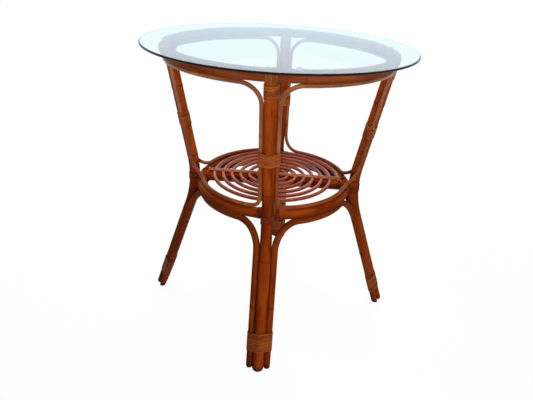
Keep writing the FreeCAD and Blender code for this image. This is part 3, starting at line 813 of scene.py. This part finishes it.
def strapShapes(seed):
    # Strips side by side: up the leg's outer face, over the hoop on a circle, down the inner face.
    rng = np.random.default_rng(seed)
    r = topHoop["r"] + strap["clear"]
    edgeX, edgeH = leg["r"] + strap["clear"], strap["lip"] - topHoop["r"]  # where a strap leaves the leg
    leave = math.atan2(edgeH, edgeX) + math.acos(r / np.linalg.norm([edgeX, edgeH]))
    a = np.linspace(leave, math.pi - leave, strap["overPoints"])
    d = np.linspace(-bind["topDrop"] + strap["endGap"], edgeH, strap["sidePoints"])
    x = np.concatenate([np.full(len(d), edgeX), r * np.cos(a), np.full(len(d), -edgeX)])
    h = np.concatenate([d, r * np.sin(a), d[::-1]])
    lean = np.linspace(0, leave, len(d))
    nx = np.concatenate([np.cos(lean), np.cos(a), -np.cos(lean[::-1])])
    nh = np.concatenate([np.sin(lean), np.sin(a), np.sin(lean[::-1])])
    out = np.cross(sideways, up)  # away from the axis, square to the leg
    path = topPoint + x[:, None] * out + h[:, None] * up
    normal = nx[:, None] * out + nh[:, None] * up
    across = np.broadcast_to(sideways, path.shape)
    shapes = []
    for k in range(strap["count"]):
        place = (k - (strap["count"] - 1) / 2) * (strap["wide"] + strap["gap"])
        width = strap["wide"] * rng.uniform(*strap["wideVary"])
        turnOf = np.full(len(path), rng.uniform(0, peel["shades"]))
        s = strip(path, normal, across, width, turnOf, peel["thick"] * rng.uniform(*strap["thickVary"]))
        shapes.append(turnShape(s, math.degrees(place / topHoop["reach"])))
    return shapes


lash = {"count": 4, "wide": 0.0052, "spacing": 1.02, "rise": 0.014, "clear": 0.0005, "sweep": (150, 390),
        "points": 44, "wrapTurns": 2.2, "wrapPoints": 80, "wrapAt": 0.0185, "wrapPitch": 0.0035,
        "wrapWide": 0.0034, "wrapThick": 0.0011, "seed": 120}


def waistShapes(seed):
    # Strips that cross the leg's outer face on a slant, and wraps round the hoop on both sides.
    rng = np.random.default_rng(seed)
    z0 = lowHoop["z"]
    hub = bendAxis(z0)
    way = -bendWay(z0)
    inner = np.cross(way, sideways)
    a = np.radians(np.linspace(*lash["sweep"], lash["points"]))
    n = np.cos(a)[:, None] * sideways + np.sin(a)[:, None] * inner
    rise = np.linspace(-0.5, 0.5, len(a)) * lash["rise"]
    shapes = []
    for k in range(lash["count"]):
        lift = (k - (lash["count"] - 1) / 2) * lash["wide"] * lash["spacing"] + rise
        path = hub + n * (leg["r"] + lash["clear"]) + lift[:, None] * way
        turnOf = np.full(len(a), rng.uniform(0, peel["shades"]))
        shapes.append(strip(path, n, np.broadcast_to(way, path.shape), lash["wide"], turnOf))
    t = np.linspace(0, 2 * math.pi * lash["wrapTurns"], lash["wrapPoints"])
    r = lowHoop["r"] + peel["clear"]
    reach = lowHoop["reach"] + r * np.cos(t)
    for sign in (-1, 1):
        turn = sign * (lash["wrapAt"] + t / (2 * math.pi) * lash["wrapPitch"]) / lowHoop["reach"]
        path = np.stack([reach * np.cos(turn), reach * np.sin(turn), z0 + r * np.sin(t)], 1)
        n = np.stack([np.cos(t) * np.cos(turn), np.cos(t) * np.sin(turn), np.sin(t)], 1)
        across = np.stack([-np.sin(turn), np.cos(turn), 0 * t], 1)
        turnOf = t / (2 * math.pi) + rng.uniform(0, peel["shades"])
        shapes.append(strip(path, n, across, lash["wrapWide"], turnOf, lash["wrapThick"]))
    return shapes


def bindings(i):  # the bindings of one leg, in its plane: shapes and finish by kind
    topBase = topPoint - up * (bind["topDrop"] + bind["topLong"])
    midBase = upperAxis(midZ) - up * bind["midLong"] / 2
    footBase = lowerAxis(bind["footZ"]) + down * bind["footLong"] / 2
    top = winding([legCircle], bind["topTurns"], bind["topLong"], topBase, up, bind["topSeed"] + i)
    mid = winding(caneBundle, bind["midTurns"], bind["midLong"], midBase, up, bind["midSeed"] + i)
    foot = winding(footBundle, bind["footTurns"], bind["footLong"], footBase, -down, bind["footSeed"] + i)
    return {
        "ring_straps_": (strapShapes(strap["seed"] + i), "strapFinish"),
        "top_binding_": ([top], "peelFinish"),
        "mid_binding_": ([mid], "peelFinish"),
        "waist_binding_": (waistShapes(lash["seed"] + i), "lashFinish"),
        "foot_binding_": ([foot], "peelFinish"),
    }


for i, (name, angle) in enumerate(legAngles.items()):
    for kind, (shapes, finish) in bindings(i).items():
        buildOnFrame(kind + name, [turnShape(s, angle) for s in shapes], finish)
print("bindings built")

# Glass: clear faces and a dark edge

glassLow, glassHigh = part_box("glass_top")
glass = {"r": (glassHigh.x - glassLow.x) / 2, "low": glassLow.z, "high": glassHigh.z, "round": 0.0022,
         "roundPoints": 6, "lip": 0.004, "hub": 0.10, "around": 256}


def glassTop():
    # A profile turned about the axis: out below, round the edge by two quarter circles, back in above.
    t = np.linspace(0, math.pi / 2, glass["roundPoints"])
    e = glass["round"]
    edgeR = glass["r"] - e
    lower = np.stack([edgeR + e * np.sin(t), glass["low"] + e - e * np.cos(t)], 1)
    upper = np.stack([edgeR + e * np.cos(t), glass["high"] - e + e * np.sin(t)], 1)
    inner = np.array([(glass["hub"], glass["low"]), (edgeR - glass["lip"], glass["low"])])
    outer = np.array([(edgeR - glass["lip"], glass["high"]), (glass["hub"], glass["high"])])
    profile = np.concatenate([inner, lower, upper, outer])
    a = np.linspace(0, 2 * math.pi, glass["around"], endpoint=False)
    grid = np.stack(np.broadcast_arrays(
        profile[:, :1] * np.cos(a), profile[:, :1] * np.sin(a), profile[:, 1:]), -1)
    shape = shapeOf(grid, grid, np.zeros(grid.shape[:2]))
    rows = np.arange(len(profile) - 1)
    edge = (rows >= len(inner)) & (rows < len(rows) - len(outer))
    which = np.concatenate([np.repeat(edge, glass["around"]), np.zeros(2 * glass["around"], bool)])
    build("glass_top", [shape], glassFinishes, "top", "glass_top", which)


glassTop()
print("glass built")

# Floor, light and camera

stage = {"floor": 6.0, "world": 0.08, "worldColour": (0.95, 0.97, 1.0, 1), "mirrored": (0.86, 0.94, 1.0, 1),
         "floorShade": (0.45, 0.45, 0.45, 1), "floorSeen": (0.96, 0.96, 0.96, 1),
         "floorShader": {"Roughness": 0.9, "Specular IOR Level": 0.0},
         "shadow": 0.05, "shadowReach": (0.5, 1.5)}


def seenRay(nodes, links):  # camera, mirror and see-through rays
    path = addNode(nodes, "ShaderNodeLightPath")
    both = mathNode(nodes, links, "MAXIMUM", path.outputs["Is Camera Ray"], path.outputs["Is Glossy Ray"])
    return mathNode(nodes, links, "MAXIMUM", both, path.outputs["Is Transmission Ray"])


def studio():  # a faint pale world, seen as white
    scene = bpy.context.scene
    scene.view_settings.view_transform = "Standard"
    world = bpy.data.worlds.new("studio")
    scene.world = world
    world.use_nodes = True
    nodes, links = world.node_tree.nodes, world.node_tree.links
    nodes.clear()
    out = addNode(nodes, "ShaderNodeOutputWorld")
    soft = addNode(nodes, "ShaderNodeBackground")
    setSockets(soft, {"Color": stage["worldColour"], "Strength": stage["world"]})
    white = addNode(nodes, "ShaderNodeBackground")
    path = addNode(nodes, "ShaderNodeLightPath")
    pale = mixColour(nodes, links, path.outputs["Is Glossy Ray"], (1, 1, 1, 1), stage["mirrored"])
    links.new(pale, white.inputs["Color"])
    white.inputs["Strength"].default_value = 1.0
    mixShaders(nodes, links, seenRay(nodes, links), soft, white, out)


def floorPlane():
    half = stage["floor"] / 2
    mesh = bpy.data.meshes.new("floor")
    corners = [(-half, -half, 0), (half, -half, 0), (half, half, 0), (-half, half, 0)]
    mesh.from_pydata(corners, [], [(0, 1, 2, 3)])
    m, nodes, links = newMaterial("paleFloor")
    out = addNode(nodes, "ShaderNodeOutputMaterial")
    bsdf = addNode(nodes, "ShaderNodeBsdfPrincipled")
    shown = mixColour(nodes, links, seenRay(nodes, links), stage["floorShade"], stage["floorSeen"])
    links.new(shown, bsdf.inputs["Base Color"])
    setSockets(bsdf, stage["floorShader"])
    glow = addNode(nodes, "ShaderNodeEmission")
    glow.inputs["Color"].default_value = (1, 1, 1, 1)
    spot = addNode(nodes, "ShaderNodeTexCoord").outputs["Object"]
    far = addNode(nodes, "ShaderNodeVectorMath", operation="LENGTH")
    links.new(spot, far.inputs[0])
    fade = ramp(nodes, links, far.outputs["Value"], *stage["shadowReach"])
    # White far off, a little shadow near the feet
    share = mathNode(nodes, links, "MULTIPLY_ADD", fade, stage["shadow"], 1 - stage["shadow"])
    part = mathNode(nodes, links, "MULTIPLY", seenRay(nodes, links), share)
    mixShaders(nodes, links, part, bsdf, glow, out)
    mesh.materials.append(m)
    obj = bpy.data.objects.new("floor", mesh)
    bpy.context.scene.collection.objects.link(obj)


# Lamps look at a point on the table's axis, at the height aim; bearing 0 is -y, 90 is +x
lamps = {
    "key": {"bearing": 74, "elevation": 18, "distance": 1.1, "size": (0.45, 0.45), "power": 1.45,
            "aim": 0.0, "spread": 70},
    "sky": {"bearing": 228, "elevation": 62, "distance": 2.4, "size": (0.8, 0.8), "power": 57},
    "front": {"bearing": 52, "elevation": 3, "distance": 3.4, "size": (1.2, 1.2), "power": 7.7,
              "aim": 1.0, "spread": 32},
    "window": {"bearing": 228, "elevation": 16, "distance": 3.4, "size": (4.0, 1.6), "power": 8.5,
               "colour": (0.3, 0.72, 1.0), "mirrored": True},
    "back": {"bearing": 258, "elevation": 24, "distance": 3.2, "size": (1.6, 1.6), "power": 36},
}


def areaLight(name, bearing, elevation, distance, size, power, colour=(1, 1, 1), aim=0.4, spread=180,
              mirrored=False):
    data = bpy.data.lights.new(name, "AREA")
    data.shape = "RECTANGLE"
    data.size, data.size_y = size
    data.energy = power
    data.color = colour
    data.spread = math.radians(spread)
    a, e = math.radians(bearing), math.radians(elevation)
    place = Vector((math.sin(a) * math.cos(e), -math.cos(a) * math.cos(e), math.sin(e))) * distance
    place.z += aim
    obj = bpy.data.objects.new(name, data)
    obj.location = place
    obj.rotation_euler = (Vector((0, 0, aim)) - place).to_track_quat("-Z", "Y").to_euler()
    obj.visible_camera = False
    obj.visible_transmission = False
    obj.visible_glossy = mirrored  # else the glass would show the lamp as a white square
    bpy.context.scene.collection.objects.link(obj)


# Camera fitted to the photograph: metres, sensor in millimetres, angles in radians, bearing in degrees
view = {"away": 1.3147, "high": 0.9805, "yaw": 0.026, "pitch": 0.469, "roll": 0.062, "bearing": 47.99,
        "focalPx": 497.7, "widthPx": 533, "shiftPx": (17.9, 2.8), "sensor": 36, "nearest": 0.05}


def camera():
    data = bpy.data.cameras.new("camera")
    data.sensor_fit = "HORIZONTAL"
    data.sensor_width = view["sensor"]
    data.lens = view["focalPx"] * view["sensor"] / view["widthPx"]
    data.shift_x = -view["shiftPx"][0] / view["widthPx"]
    data.shift_y = view["shiftPx"][1] / view["widthPx"]
    data.clip_start = view["nearest"]
    yaw, pitch, roll = view["yaw"], view["pitch"], view["roll"]
    ahead = vec(math.sin(yaw) * math.cos(pitch), math.cos(yaw) * math.cos(pitch), -math.sin(pitch))
    right = vec(math.cos(yaw), -math.sin(yaw), 0)
    above = np.cross(right, ahead)
    rolledRight = math.cos(roll) * right + math.sin(roll) * above
    rolledAbove = -math.sin(roll) * right + math.cos(roll) * above
    place = vec(0, -view["away"], view["high"])
    columns = spun(np.stack([rolledRight, rolledAbove, -ahead, place]), view["bearing"])
    obj = bpy.data.objects.new("camera", data)
    bpy.context.scene.collection.objects.link(obj)
    obj.matrix_world = Matrix([*columns.T.tolist(), (0, 0, 0, 1)])
    bpy.context.scene.camera = obj


studio()
floorPlane()
for name, values in lamps.items():
    areaLight(name, **values)
camera()
print("stage set")
